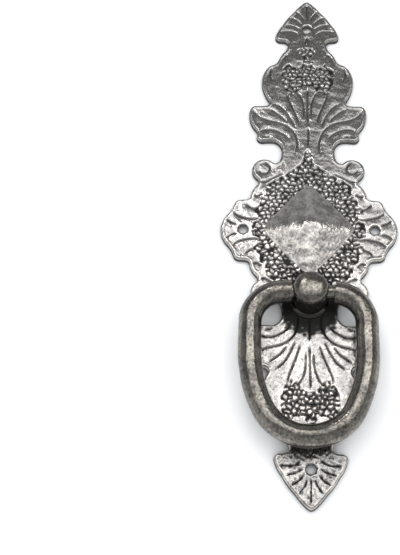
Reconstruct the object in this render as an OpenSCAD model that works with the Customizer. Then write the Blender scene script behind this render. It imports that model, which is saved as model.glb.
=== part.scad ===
// Door pull: a long ornamental backplate with a ring that swings from a turned post.
// Built in millimetres. The back lies on the plane Y = 0, the front faces -Y and +Z is up.
// The origin is on the back plane, behind the point of the pyramid.
// Everything is drawn lying down, with Z as the height above the wall, and stand() sets it upright.

/* [Backplate] */
// Length of the backplate, tip to tip
plate_l = 200.8; // [150:0.2:260]
// Height of the plain field above the wall
field_h = 2.4; // [2:0.1:4]
// Thickness of the sheet
sheet_t = 1.2; // [1:0.1:1.4]
// Height of the rim above the field
rim_rise = 0.15; // [0.1:0.05:0.3]
// Height of the upright edge below the bevel of the rim
edge_h = 1.4; // [0.8:0.1:1.8]
// Width of the bevel that runs down to the edge
bevel_w = 0.9; // [0.5:0.1:1]
// Width of the turned-down rim at the wall
rim_w = 1.3; // [1.1:0.1:1.4]

/* [Pyramid] */
// Half width of the raised pyramid
pyramid_x = 15; // [12:0.5:16]
// Half height of the raised pyramid
pyramid_y = 17.5; // [14:0.5:18]
// Height of its point above the field
pyramid_h = 5; // [2:0.5:8]

/* [Screw holes] */
// Diameter of the four screw holes
hole_d = 3.4; // [2.5:0.1:4]
// Distance of the end holes from the centre
end_hole = 87; // [86:0.5:88]
// Distance of the side holes from the centre
side_hole = 23.2; // [22.5:0.1:24]

/* [Carving] */
// Width of a cut line at the surface
cut_w = 0.85; // [0.5:0.05:1.2]
// Depth of a cut line
cut_d = 0.5; // [0.3:0.05:0.6]
// Depth of the sunk ground between the berries
ground_d = 0.5; // [0.3:0.05:0.6]
// Spacing of the berries
berry_pitch = 2.25; // [2.2:0.05:3]
// Largest radius of a berry where it stands on the ground
berry_r = 0.9; // [0.6:0.05:0.9]
// Height of a berry above the ground
berry_h = 0.65; // [0.5:0.05:0.8]

/* [Post] */
// Height of the pivot line above the field
pivot_h = 6.75; // [6:0.05:8]
// Distance of the post below the centre of the plate
post_drop = 27.5; // [26:0.5:29]
// Diameter of the head
head_d = 12; // [11:0.1:13]
// Height of the domed end above the field
head_h = 12.6; // [12:0.1:15]
// Height of the dome at its middle
dome_h = 2.6; // [1.5:0.1:4]
// Diameter of the collar on the plate
collar_d = 14; // [13:0.1:15]
// Diameter of the tail that is peened behind the sheet
tail_d = 5; // [4:0.1:6]

/* [Ring] */
// Diameter of the bar
bar_d = 7.8; // [6:0.1:8]
// Width of the ring between the middles of its sides
ring_w = 39; // [36:0.5:44]
// Distance from the pivot line down to the middle of the lowest part
ring_drop = 50.8; // [49:0.2:54]
// Radius of the upper corners
top_r = 11.5; // [8:0.5:12]
// Radius of the lowest curve
low_r = 16.8; // [15:0.2:18]
// Half angle of the lowest curve
low_angle = 65; // [55:1:70]
// Sideways set of the ring, to the left
ring_set = 0.8; // [0:0.1:1]
// Distance of the left bar end from the centre
left_end = 6.3; // [6.2:0.1:8]
// Distance of the right bar end from the centre
right_end = 8.3; // [7:0.1:9]
// Diameter of the pins on the bar ends
pin_d = 4.8; // [4:0.1:5]
// Running clearance of the pins, all round
pin_gap = 0.1; // [0.05:0.01:0.15]

/* [Hidden] */
overlap = 0.3;
pin_reach = 4.8;
seat_d = collar_d + 0.6;
hollow_h = field_h - sheet_t;
rim_h = field_h + rim_rise;
ground_h = field_h - ground_d;
post_y = -post_drop;
pivot_z = field_h + pivot_h;

// Outline of one quarter, from the side point to the top point.
// Each row is a corner and the bulge of the arc to the next one: the tangent of a quarter
// of its angle, more than 0 where the edge swells outwards and less where it curves in.
quarter = [
  [31.2, 0, 0.20], [28.3, 6.6, -0.08], [26.6, 10.0, 0.30], [24.7, 12.0, -0.03],
  [22.2, 12.2, -0.35], [20.8, 13.5, 0.18], [18.4, 18.2, -0.42], [18.5, 20.8, 1.12],
  [12.4, 27.3, -0.35], [10.2, 28.7, -0.10], [9.6, 33.0, -0.34], [12.6, 36.7, -0.06],
  [16.7, 36.5, 0.36], [18.8, 38.2, -0.08], [18.6, 40.5, -0.10], [19.9, 42.4, 0.16],
  [21.6, 49.3, 0.28], [19.8, 52.1, -0.03], [15.4, 52.2, -0.45], [14.3, 54.3, 0.13],
  [17.1, 62.4, 0.17], [15.2, 69.0, 0.18], [12.6, 70.8, -0.15], [11.2, 72.1, 0.03],
  [9.9, 75.0, 0.08], [8.3, 76.9, -0.12], [7.2, 80.2, -0.32], [8.8, 81.7, 0],
  [10.4, 81.8, 0.36], [12.1, 83.7, 0.12], [9.4, 89.3, 0.08], [5.4, 95.0, 0.06],
  [1.7, 99.4, 0.18], [0, plate_l / 2, 0]
];
arc_step = 30;
bar_step = 7.5;
bar_sides = 28;

// Cut lines of one quarter, as points along each line
lobe_cuts = [
  [[1.3, 46.5], [1.5, 52.0], [2.5, 55.8], [4.2, 58.3], [6.5, 59.2]],
  [[3.2, 43.6], [4.5, 48.0], [6.0, 52.0], [7.3, 55.6], [7.4, 58.0]],
  [[5.0, 42.5], [6.6, 46.5], [8.8, 50.3], [11.8, 52.9]],
  [[8.0, 44.8], [10.2, 47.6], [13.9, 50.4]],
  [[13.2, 62.4], [14.1, 65.6], [13.5, 69.0]],
  [[0.5, 82.6], [1.4, 79.8], [3.2, 77.4], [5.8, 76.0]],
  [[6.2, 74.6], [8.4, 72.2], [10.2, 69.6]]
];
wing_cuts = [
  [[4.7, 31.2], [3.9, 35.0], [4.9, 39.3], [7.2, 42.5], [10.4, 44.4], [14.5, 45.4],
    [17.4, 46.6], [19.2, 48.4], [20.1, 50.7]],
  [[7.0, 37.8], [9.2, 39.6], [11.6, 41.0], [14.5, 41.4], [17.6, 40.7]],
  [[10.6, 34.6], [12.4, 37.6], [15.2, 38.6]]
];
field_cuts = [
  [[9.0, 22.6], [12.6, 20.9], [15.4, 19.4], [17.2, 19.6]],
  [[16.6, 4.4], [19.4, 3.9], [22.5, 4.4], [25.2, 5.4], [27.0, 7.0]],
  [[25.6, 1.8], [27.4, 2.4], [29.3, 3.8]],
  [[18.0, 7.7], [20.4, 8.4], [22.4, 10.1]],
  [[16.6, 14.6], [18.0, 13.4], [19.6, 13.6]]
];
finial_cuts = [
  [[1.2, 90.4], [2.2, 92.9], [4.0, 95.2]],
  [[2.3, 88.9], [4.2, 91.0], [6.7, 92.4]],
  [[2.8, 86.9], [5.2, 88.3], [8.2, 89.0]],
  [[3.2, 84.4], [6.0, 85.9], [10.2, 85.8]]
];
centre_cuts = [
  [[0, 43.8], [0, 60.2]], [[0, 34.0], [0, 42.2]], [[0, 90.4], [0, 98.4]]
];

// Sunk grounds of one quarter
lobe_ground = [
  [-1, 61.3], [1.4, 61.0], [3.6, 59.9], [6.6, 60.1], [8.0, 57.2], [8.9, 57.8], [9.7, 60.8],
  [9.8, 64.6], [9.0, 68.0], [7.0, 70.6], [6.0, 73.0], [3.8, 75.6], [1.2, 77.6], [-1, 78.0]
];
diamond_ground = [
  [-1, 31.6], [1.1, 31.2], [1.7, 27.8], [4.6, 25.0], [8.2, 22.2], [12.4, 20.0], [15.0, 17.8],
  [15.2, 13.8], [17.0, 12.8], [17.4, 9.8], [19.6, 7.6], [17.6, 5.6], [17.4, 3.4], [19.6, 2.6],
  [20.4, -1], [15, -1], [15.4, 0.6], [0.6, 17.9], [-1, 19.3]
];

// Points of the arc from p to q, q left out
function arc_points(p, q, bulge, step) =
  let (
    a = 4 * atan(bulge),
    n = max(1, ceil(abs(a) / step)),
    d = q - p,
    r = norm(d) / 2 / sin(abs(a) / 2),
    s = sign(bulge),
    mid = (p + q) / 2,
    c = mid + s * r * cos(a / 2) * [-d.y, d.x] / norm(d),
    a0 = atan2(p.y - c.y, p.x - c.x)
  )
  bulge == 0 ? [p] : [for (i = [0:n - 1]) c + r * [cos(a0 + a * i / n), sin(a0 + a * i / n)]];

// Rows of corners and bulges as points, the last corner left out
function line_points(rows, step) = [
  for (i = [0:len(rows) - 2])
    let (p = rows[i], q = rows[i + 1])
      each arc_points([p.x, p.y], [q.x, q.y], p.z, step)
];

// The whole outline, counter-clockwise from the right side point
function full_outline() =
  let (q = line_points(quarter, arc_step), n = len(q))
  [
    each q,
    [0, plate_l / 2],
    for (i = [n - 1:-1:0]) [-q[i].x, q[i].y],
    for (i = [1:n - 1]) [-q[i].x, -q[i].y],
    [0, -plate_l / 2],
    for (i = [n - 1:-1:1]) [q[i].x, -q[i].y]
  ];

// The outline drawn in by a distance, point by point along the corner bisectors
function inset(pts, w) =
  let (n = len(pts))
  [
    for (i = [0:n - 1])
      let (
        a = pts[i] - pts[(i + n - 1) % n],
        b = pts[(i + 1) % n] - pts[i],
        na = [-a.y, a.x] / norm(a),
        nb = [-b.y, b.x] / norm(b),
        m = na + nb
      )
      pts[i] + m * w / max(0.5, m * m / 2)
  ];

// True where a point lies inside a closed polygon
function inside(p, poly) =
  let (
    n = len(poly),
    hits = [
      for (i = [0:n - 1])
        let (a = poly[i], b = poly[(i + 1) % n])
          if ((a.y > p.y) != (b.y > p.y) && p.x < a.x + (b.x - a.x) * (p.y - a.y) / (b.y - a.y)) 1
    ]
  )
  len(hits) % 2 == 1;

// Distance from a point to a stretch of straight line
function line_distance(p, a, b) =
  let (d = b - a, t = max(0, min(1, (p - a) * d / (d * d))))
  norm(p - a - t * d);

// Distance from a point to the nearest side of a polygon
function edge_distance(p, poly) =
  min([for (i = [0:len(poly) - 1]) line_distance(p, poly[i], poly[(i + 1) % len(poly)])]);

// A repeatable number from 0 to 1 for each berry
function scatter(i, j) = let (s = sin(127 * i + 311 * j) * 43.7) s - floor(s);

// Smooth curve through points, with a few steps between each two
function smooth_path(pts, steps = 2) =
  let (n = len(pts))
  n == 2
    ? pts
    : [
        for (i = [0:n - 2])
          let (
            p0 = pts[max(0, i - 1)],
            p1 = pts[i],
            p2 = pts[i + 1],
            p3 = pts[min(n - 1, i + 2)]
          )
          for (k = [0:steps - 1])
            let (t = k / steps)
              0.5 * (2 * p1 + (p2 - p0) * t + (2 * p0 - 5 * p1 + 4 * p2 - p3) * t * t
                + (3 * p1 - p0 - 3 * p2 + p3) * t * t * t),
        pts[n - 1]
      ];

// Faces that join rings of equal numbers of points, one after the other
function band_faces(n, rings) = [
  for (r = [0:rings - 1], i = [0:n - 1])
    let (
      a = r * n + i,
      b = r * n + (i + 1) % n,
      c = ((r + 1) % rings) * n + (i + 1) % n,
      d = ((r + 1) % rings) * n + i
    )
    each [[a, c, b], [a, d, c]]
];

// Faces of a sweep with closed ends: n sections of k points each
function sweep_faces(n, k) = [
  [for (j = [0:k - 1]) j],
  for (i = [0:n - 2], j = [0:k - 1])
    let (a = k * i + j, b = k * i + (j + 1) % k)
      each [[b, a, a + k], [b, a + k, b + k]],
  [for (j = [k - 1:-1:0]) k * (n - 1) + j]
];

// Direction square to the left of a line of points at its point i
function left_of(path, i) =
  let (t = path[min(len(path) - 1, i + 1)] - path[max(0, i - 1)])
  [-t.y, t.x] / norm(t);

module stand() {
  rotate([90, 0, 0]) children();
}

// Copies to all four quarters, where $lower tells the lower two
module four_ways() {
  for (sx = [0, 1], $lower = [0, 1])
    mirror([sx, 0, 0]) mirror([0, $lower, 0]) children();
}

// A cut line with a V section that fades out at both ends
module cut_line(pts) {
  path = smooth_path(pts);
  n = len(path);
  lift = 0.2;
  sections = [
    for (i = [0:n - 1])
      let (
        fade = i == 0 || i == n - 1 ? 0.25 : 1,
        side = left_of(path, i) * fade * cut_w / 2 * (cut_d + lift) / cut_d
      )
      [
        [path[i].x + side.x, path[i].y + side.y, field_h + lift],
        [path[i].x - side.x, path[i].y - side.y, field_h + lift],
        [path[i].x, path[i].y, field_h - fade * cut_d]
      ]
  ];
  polyhedron(points = [for (s = sections) each s], faces = sweep_faces(n, 3));
}

// The curled line in each small round lobe
module volute() {
  curl = [for (a = [80:35:360]) [16.1, 24.6] + (2.5 - 0.9 * (a - 80) / 280) * [cos(a), sin(a)]];
  cut_line(curl);
}

// A sunk ground, left standing under the collar of the post
module sunk(ground) {
  difference() {
    translate([0, 0, ground_h]) linear_extrude(sheet_t) polygon(ground);
    if ($lower == 1)
      translate([0, post_drop, 0]) cylinder(d = seat_d, h = field_h + 2, $fn = 64);
  }
}

// A low dome of the given radius at its foot, which goes on as a ball below the ground
module berry(foot_r) {
  ball_r = (foot_r * foot_r + berry_h * berry_h) / (2 * berry_h);
  translate([0, 0, ground_h + berry_h - ball_r]) sphere(r = ball_r, $fn = 20);
}

// Berries that stand in a sunk ground, clear of its sides, the middle line and the collar
module berries(ground, rows) {
  intersection() {
    translate([-1, -1, ground_h - overlap]) cube([plate_l, plate_l, 2]);
    for (j = rows, i = [0:11])
      let (
        shift = j % 2 == 0 ? 0 : berry_pitch / 2,
        p = [
          i * berry_pitch + shift + 0.32 * (scatter(i, j) - 0.5),
          j * berry_pitch * 0.87 + 0.32 * (scatter(j, i + 7) - 0.5)
        ],
        r = berry_r * (0.8 + 0.2 * scatter(i + 3, j + 5))
      )
      if (inside(p, ground) && edge_distance(p, ground) > 0.5 && p.x > r
        && ($lower == 0 || norm(p - [0, post_drop]) > seat_d / 2 + r))
        translate([p.x, p.y, 0]) berry(r);
  }
}

// The sheet with its turned-down, bevelled rim
module shell() {
  outer = full_outline();
  n = len(outer);
  bevel = inset(outer, bevel_w);
  wall = inset(outer, rim_w);
  rings = [
    [for (p = outer) [p.x, p.y, 0]],
    [for (p = outer) [p.x, p.y, edge_h]],
    [for (p = bevel) [p.x, p.y, rim_h]],
    [for (p = wall) [p.x, p.y, rim_h]],
    [for (p = wall) [p.x, p.y, 0]]
  ];
  polyhedron(points = [for (r = rings) each r], faces = band_faces(n, 5));
  translate([0, 0, hollow_h])
    linear_extrude(sheet_t) polygon(inset(outer, rim_w - overlap));
}

// A four-sided point of the given half widths and height, with a short foot below it
module diamond_point(x, y, h, foot) {
  polyhedron(
    points = [
      [x, 0, 0], [0, y, 0], [-x, 0, 0], [0, -y, 0],
      [x, 0, -foot], [0, y, -foot], [-x, 0, -foot], [0, -y, -foot], [0, 0, h]
    ],
    faces = [
      for (i = [0:3]) [i, 8, (i + 1) % 4],
      for (i = [0:3]) each [[4 + i, i, (i + 1) % 4], [4 + i, (i + 1) % 4, 4 + (i + 1) % 4]],
      [4, 5, 6], [4, 6, 7]
    ]
  );
}

module backplate() {
  color("silver")
    stand()
      difference() {
        union() {
          difference() {
            shell();
            four_ways() {
              sunk(lobe_ground);
              sunk(diamond_ground);
              for (c = concat(lobe_cuts, wing_cuts, field_cuts, finial_cuts)) cut_line(c);
              volute();
            }
            for (c = centre_cuts, sy = [0, 1])
              mirror([0, sy, 0]) cut_line(c);
          }
          translate([0, 0, field_h])
            diamond_point(pyramid_x, pyramid_y, pyramid_h, sheet_t / 2);
          four_ways() {
            berries(lobe_ground, [28:40]);
            berries(diamond_ground, [0:16]);
          }
        }
        translate([0, 0, hollow_h])
          diamond_point(pyramid_x - sheet_t, pyramid_y - sheet_t, pyramid_h - 0.2, sheet_t);
        for (s = [-1, 1]) {
          translate([0, s * end_hole, -1]) cylinder(d = hole_d, h = field_h + 2, $fn = 48);
          translate([s * side_hole, 0, -1]) cylinder(d = hole_d, h = field_h + 2, $fn = 48);
        }
        translate([0, post_y, -1]) cylinder(d = tail_d, h = field_h + 2, $fn = 48);
      }
}

module post() {
  color("dimgray")
    stand()
      translate([0, post_y, 0])
        difference() {
          rotate_extrude($fn = 72)
            polygon([
              [0, 0.2], [tail_d / 2 + 0.4, 0.2], [tail_d / 2 + 0.9, 0.5],
              [tail_d / 2 + 0.9, hollow_h], [tail_d / 2, hollow_h],
              [tail_d / 2, field_h], [collar_d / 2 - 0.3, field_h], [collar_d / 2, field_h + 0.3],
              [collar_d / 2, field_h + 0.7], [collar_d / 2 - 0.5, field_h + 1.1],
              [head_d / 2 - 0.9, field_h + 1.2], [head_d / 2 - 0.9, field_h + 1.5],
              for (a = [-60:20:0])
                [head_d / 2 - 1 + cos(a), field_h + 2.4 + sin(a)],
              for (a = [0:10:90])
                [head_d / 2 * pow(cos(a), 0.8), field_h + head_h - dome_h + dome_h * sin(a)]
            ]);
          translate([0, 0, pivot_z])
            rotate([0, 90, 0])
              cylinder(d = pin_d + 2 * pin_gap, h = head_d + 4, center = true, $fn = 64);
        }
}

// Half of the ring's middle line, from the lowest point to the end at the post,
// as rows of corners and bulges
function half_ring(end_x) =
  let (
    half = ring_w / 2,
    side_r = (half - low_r * sin(low_angle)) / (1 - sin(low_angle)),
    low_y = low_r - ring_drop,
    turn = 90 - asin(max(0, end_x - half + top_r) / top_r)
  )
  [
    [0, -ring_drop, tan(low_angle / 4)],
    [low_r * sin(low_angle), low_y - low_r * cos(low_angle), tan((90 - low_angle) / 4)],
    [half, low_y + (side_r - low_r) * cos(low_angle), 0],
    [half, -top_r, tan(turn / 4)],
    [half - top_r + top_r * cos(turn), top_r * sin(turn) - top_r, 0],
    if (turn == 90) [end_x, 0, 0]
  ];

// The ring's middle line as points, from the left end down and round to the right end
function ring_path() =
  let (
    right_rows = half_ring(right_end + ring_set),
    left_rows = half_ring(left_end - ring_set),
    right = line_points(right_rows, bar_step),
    left = line_points(left_rows, bar_step),
    right_tip = right_rows[len(right_rows) - 1],
    left_tip = left_rows[len(left_rows) - 1]
  )
  [
    [-left_tip.x, left_tip.y],
    for (i = [len(left) - 1:-1:1]) [-left[i].x, left[i].y],
    each right,
    [right_tip.x, right_tip.y]
  ];

// A round bar along a flat line of points
module bar(path) {
  sections = [
    for (i = [0:len(path) - 1])
      let (side = left_of(path, i) * bar_d / 2)
        [
          for (k = [0:bar_sides - 1])
            let (a = 360 * k / bar_sides)
              [path[i].x + side.x * cos(a), path[i].y + side.y * cos(a), bar_d / 2 * sin(a)]
        ]
  ];
  polyhedron(
    points = [for (s = sections) each s],
    faces = sweep_faces(len(path), bar_sides)
  );
}

// A pin that leaves a bar end towards the post
module pin(end_x) {
  translate([end_x - pin_reach, 0, 0])
    rotate([0, 90, 0])
      cylinder(d = pin_d, h = pin_reach + 1, $fn = 40);
}

module ring() {
  color("gray")
    stand()
      translate([-ring_set, post_y, pivot_z]) {
        bar(ring_path());
        pin(right_end + ring_set);
        mirror([1, 0, 0]) pin(left_end - ring_set);
      }
}

backplate();
post();
ring();
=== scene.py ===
# %% [markdown]
# # A door pull with a carved backplate and a swinging ring
#
# The object is a long pressed plate in antique silver, with berries, petals and a raised
# pyramid on it, a turned post in dark bronze, and a ring of round bar that swings in the post.
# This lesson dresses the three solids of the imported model. It lays out a camera, a white board
# and soft lights first, then the plate's relief, the post and the ring, and last the finishes.

# %% Load the fixed frame
import math

import bpy
import numpy as np
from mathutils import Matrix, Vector
from mathutils.geometry import delaunay_2d_cdt


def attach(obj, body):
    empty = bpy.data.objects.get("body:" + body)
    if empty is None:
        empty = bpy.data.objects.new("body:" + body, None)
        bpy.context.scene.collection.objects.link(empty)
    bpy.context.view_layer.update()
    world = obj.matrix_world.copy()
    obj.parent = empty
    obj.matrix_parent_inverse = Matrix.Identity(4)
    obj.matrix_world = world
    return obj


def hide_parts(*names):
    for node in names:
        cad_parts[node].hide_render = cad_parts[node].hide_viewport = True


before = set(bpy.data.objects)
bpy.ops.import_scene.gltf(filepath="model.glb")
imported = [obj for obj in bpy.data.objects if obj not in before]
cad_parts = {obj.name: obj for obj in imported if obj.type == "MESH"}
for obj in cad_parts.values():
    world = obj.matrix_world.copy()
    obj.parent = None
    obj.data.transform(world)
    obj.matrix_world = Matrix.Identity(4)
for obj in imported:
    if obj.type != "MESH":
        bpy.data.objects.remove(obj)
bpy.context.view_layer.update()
MM = 0.001

# %% [markdown]
# ## Camera
#
# The photograph looks at the plate from its lower end, at about 28 degrees from square, from a
# little over 40 cm away. A long lens keeps the plate's taper as gentle as it is there. The
# numbers were fitted to the four screw holes, the tips and the ring.

# %% Camera
view = bpy.data.cameras.new("view")
view.sensor_width = 36
view.lens = 76.64
view.clip_start = 0.01
camera = bpy.data.objects.new("camera", view)
camera.location = (-0.01901, -0.37157, -0.19657)
camera.rotation_euler = [math.radians(a) for a in (115.619, -1.789, 2.059)]
bpy.context.collection.objects.link(camera)
bpy.context.scene.camera = camera

# %% [markdown]
# ## Sockets as numbers
#
# Shader maths reads badly as a list of nodes and links. A small class wraps one socket and
# gives it Python's own signs, so 1 - mask adds a Subtract node. A second class adds any other
# node by its type, its settings and its values, and a third one is that for a material.


# %% Wire, Nodes and Finish
class Wire:
    """A socket that can stand in an expression with other sockets and numbers."""

    def __init__(self, nodes, socket):
        self.nodes, self.socket = nodes, socket

    def math(self, operation, *values, clamp=False):
        settings = {"operation": operation, "use_clamp": clamp}
        return self.nodes.node("ShaderNodeMath", settings, dict(enumerate(values)))

    def __add__(self, other):
        return self.math("ADD", self, other)

    def __sub__(self, other):
        return self.math("SUBTRACT", self, other)

    def __rsub__(self, other):
        return self.math("SUBTRACT", other, self)

    def __mul__(self, other):
        return self.math("MULTIPLY", self, other)

    def __truediv__(self, other):
        return self.math("DIVIDE", self, other)

    def __rtruediv__(self, other):
        return self.math("DIVIDE", other, self)

    def __lt__(self, other):
        return self.math("LESS_THAN", self, other)

    def __abs__(self):
        return self.math("ABSOLUTE", self)

    __radd__, __rmul__ = __add__, __mul__

    def clamped(self):
        return self.math("ADD", self, 0.0, clamp=True)

    def ramp(self, low, high):
        """0 where the value is low, 1 where it is high, and even between them."""
        return ((self - low) / (high - low)).clamped()


class Nodes:
    """The nodes of a material or a sky, added one by one."""

    def __init__(self, tree):
        self.tree = tree

    def node(self, kind, settings, values, output=0):
        made = self.tree.nodes.new(kind)
        for key, value in settings.items():
            setattr(made, key, value)
        self.feed(made, values)
        return Wire(self, made.outputs[output])

    def ray(self, fact):
        """Something that is known of the ray of light that asks."""
        return self.node("ShaderNodeLightPath", {}, {}, fact)

    def part(self, place, axis):
        """The part of a place or a direction along one axis."""
        return self.node("ShaderNodeSeparateXYZ", {}, {0: place}, axis)

    def feed(self, made, values):
        for key, value in values.items():
            if isinstance(value, Wire):
                self.tree.links.new(value.socket, made.inputs[key])
            else:
                made.inputs[key].default_value = value


class Finish(Nodes):
    """A material with its Principled shader, and the patterns that finishes are made of."""

    def __init__(self, name):
        self.material = bpy.data.materials.new(name)
        self.material.use_nodes = True
        super().__init__(self.material.node_tree)
        self.shader = self.tree.nodes["Principled BSDF"]

    def blend(self, share, first, second):
        """One colour where share is 0 and the other where it is 1."""
        return self.node("ShaderNodeMix", {"data_type": "RGBA"}, {0: share, 6: first, 7: second}, 2)

    def place(self):
        """The point on the piece, in metres."""
        return self.node("ShaderNodeTexCoord", {}, {}, 3)

    def noise(self, size, detail=4.0, rough=0.55, at=None):
        """Cloudy noise whose blotches are about size metres across."""
        values = {"Vector": at or self.place(), "Scale": 1 / size, "Detail": detail, "Roughness": rough}
        return self.node("ShaderNodeTexNoise", {}, values)

    def bump(self, height, strength, depth):
        values = {"Strength": strength, "Distance": depth, "Height": height}
        return self.node("ShaderNodeBump", {}, values)

    def attribute(self, name):
        return self.node("ShaderNodeAttribute", {"attribute_name": name}, {}, 2)


def grey(value, warm=0.0):
    """A grey, warmer by a share, as a colour with four parts."""
    return (value * (1 + warm), value, value * (1 - warm), 1.0)


# %% [markdown]
# ## Board and light
#
# The pull lies on white paper, so a white board stands right behind it and takes its soft
# shadow. Seen directly or in a reflection the board is plain white; for light it is a normal
# matt surface: the little glow that makes it white is added to the lit paper and fades where
# something stands close, which paints a soft shade there on top of the real shadow. Its back is
# clear, so that the back of the plate can be looked at, and light that starts in the plate's
# hollow back passes through it too.

# %% White board
def deselect():
    bpy.ops.object.select_all(action="DESELECT")


BOARD_RAYS = ("Is Camera Ray", "Is Glossy Ray", "Is Transmission Ray")
BOARD_SIZE, BOARD_GAP = 6, 0.00005
PAPER, GLOW, NO_GLOW = (0.88, 0.88, 0.88, 1), (0.47, 0.485, 0.5, 1), (0, 0, 0, 1)
SHADE_REACH, SHADE_DARK, SHADE_GONE = 0.012, 0.2, 0.55
HOLLOW_REACH, ONE_BOUNCE = 0.006, 1.5
deselect()
bpy.ops.mesh.primitive_plane_add(
    size=BOARD_SIZE, location=(0, BOARD_GAP, 0), rotation=(math.pi / 2, 0, 0))
board = bpy.context.object
board.name = "board"
bpy.ops.object.transform_apply(location=True, rotation=True)
paper = Finish("white_paper")
seen = sum((paper.ray(kind) for kind in BOARD_RAYS), 0.0).clamped()
eye, reach, depth = (paper.ray(fact) for fact in ("Is Camera Ray", "Ray Length", "Ray Depth"))
from_hollow = (reach < HOLLOW_REACH) * (depth < ONE_BOUNCE) * (1 - eye)
behind = paper.node("ShaderNodeNewGeometry", {}, {}, "Backfacing")
# Painted shade: ambient occlusion fades the glow where something stands close.
openness = paper.node(
    "ShaderNodeAmbientOcclusion", {"samples": 8}, {"Distance": SHADE_REACH}, "AO")
glowing = seen * openness * openness.ramp(SHADE_DARK, SHADE_GONE)
paper.feed(paper.shader, {
    "Base Color": PAPER, "Roughness": 1.0, "Specular IOR Level": 0.0,
    "Emission Color": paper.blend(glowing, NO_GLOW, GLOW), "Emission Strength": 1.0,
    "Alpha": (1 - behind) * (1 - from_hollow),
})
board.data.materials.append(paper.material)
print("board:", board.dimensions[:], "with", len(paper.tree.nodes), "nodes")

# %% [markdown]
# The light is a photographer's. Two wide soft boxes hang in front, the upper one brighter, with
# a thin strip between them. The lower half of the plate mirrors them, brightest just below the
# pyramid, and the strip draws the long highlight on the ring. A small near lamp on the left and
# an upright strip on the right give the bends and the berries their glints.

# %% Lights


def soft_box(name, at, towards, width, height, watts):
    """A rectangular lamp at a place, turned towards another, with its size in metres."""
    lamp = bpy.data.lights.new(name, "AREA")
    lamp.shape, lamp.size, lamp.size_y, lamp.energy = "RECTANGLE", width, height, watts
    holder = bpy.data.objects.new(name, lamp)
    holder.location = at
    holder.rotation_euler = (Vector(towards) - Vector(at)).to_track_quat("-Z", "Y").to_euler()
    bpy.context.collection.objects.link(holder)


LAMPS = {
    "front_box": ((0.0, -0.9, 0.065), (0, -0.02, 0.065), 1.5, 0.41, 2.05),
    "window_strip": ((0.0, -0.88, 0.185), (0, -0.02, -0.07), 1.3, 0.045, 0.42),
    "upper_box": ((0.0, -0.9, 0.375), (0, -0.02, 0.0), 1.0, 0.23, 1.55),
    "left_lamp": ((-0.062, -0.204, 0.12), (-0.014, -0.01, -0.03), 0.035, 0.025, 0.045),
    "right_strip": ((0.44, -0.70, 0.33), (0, -0.02, -0.03), 0.05, 0.34, 0.34),
}
for name, (at, towards, width, height, watts) in LAMPS.items():
    soft_box(name, at, towards, width, height, watts)
print("lamps:", len(LAMPS), "with", round(sum(row[-1] for row in LAMPS.values()), 3), "W")

# %% [markdown]
# The upper half of the plate looks past the boxes into a pale grey sky, and so do the flanks of
# the ring. The sky is light below, where the paper of the photograph runs on towards the eye,
# darkest a little above eye level, and lighter again high up and at both sides. Seen directly it
# is white, so that the object can be looked at from behind too.

# %% Sky
SKY_COLOR = (0.97, 0.985, 1.0, 1)
sky = bpy.data.worlds.new("sky")
sky.use_nodes = True
air = Nodes(sky.node_tree)
facing = air.node("ShaderNodeTexCoord", {}, {}, "Generated")


def light_along(axis, start, end, first, last):
    """A light that goes from first to last while the direction goes from start to end on an axis."""
    values = {
        "Value": air.part(facing, axis), "From Min": start, "From Max": end,
        "To Min": first, "To Max": last}
    return air.node("ShaderNodeMapRange", {}, values)


below, above = light_along("Z", -0.9, 0.3, 0.72, 0.12), light_along("Z", 0.56, 0.88, 0.0, 0.28)
left, right = light_along("X", -0.62, -0.92, 0.0, 0.45), light_along("X", 0.62, 0.92, 0.0, 0.4)
around = (left + right) + (below + above)
air.feed(sky.node_tree.nodes["Background"], {
    "Strength": around.math("MAXIMUM", around, air.ray("Is Camera Ray")), "Color": SKY_COLOR})
bpy.context.scene.world = sky
bpy.context.scene.view_settings.view_transform = "Standard"
print("sky:", len(air.tree.nodes), "nodes")

# %% [markdown]
# ## The plate's outline
#
# The edge is one quarter, mirrored four ways: lobes, scrolls and a leaf-shaped tip. It is kept
# as rows of corners with the bulge of the arc to the next one. All of the plate is drawn lying
# down in millimetres, with x to the right, y up the plate and the height above the wall, and
# stands up only when its mesh is made.

# %% Outline
FIELD, SHEET, RIM_RISE, EDGE, BEVEL, RIM_WIDTH = 2.4, 1.2, 0.15, 1.4, 0.9, 1.3
HOLLOW, TIP = FIELD - SHEET, 100.4
FINE_STEP, COARSE_TURN, STRAIGHT = 0.4, 30, 1e9
PYRAMID, PYRAMID_HOLLOW = (15.6, 17.5, 5.0), (13.8, 16.3)
POST_Y, SEAT_RADIUS = -27.5, 7.3
HOLES = [(0, 87.0, 1.7), (0, -87.0, 1.7), (23.2, 0, 1.7), (-23.2, 0, 1.7), (0, POST_Y, 2.5)]
QUARTER = [
    (31.2, 0, 0.20), (28.3, 6.6, -0.08), (26.6, 10.0, 0.30), (24.7, 12.0, -0.03),
    (22.2, 12.2, -0.35), (20.8, 13.5, 0.18), (18.4, 18.2, -0.42), (18.5, 20.8, 1.12),
    (12.4, 27.3, -0.35), (10.2, 28.7, -0.10), (9.6, 33.0, -0.34), (12.6, 36.7, -0.06),
    (16.7, 36.5, 0.36), (18.8, 38.2, -0.08), (18.6, 40.5, -0.10), (19.9, 42.4, 0.16),
    (21.6, 49.3, 0.28), (19.8, 52.1, -0.03), (15.4, 52.2, -0.45), (14.3, 54.3, 0.13),
    (17.1, 62.4, 0.17), (15.2, 69.0, 0.18), (12.6, 70.8, -0.15), (11.2, 72.1, 0.03),
    (9.9, 75.0, 0.08), (8.3, 76.9, -0.12), (7.2, 80.2, -0.32), (8.8, 81.7, 0),
    (10.4, 81.8, 0.36), (12.1, 83.7, 0.12), (9.4, 89.3, 0.08), (5.4, 95.0, 0.06),
    (1.7, 99.4, 0.18), (0, TIP, 0),
]


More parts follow.
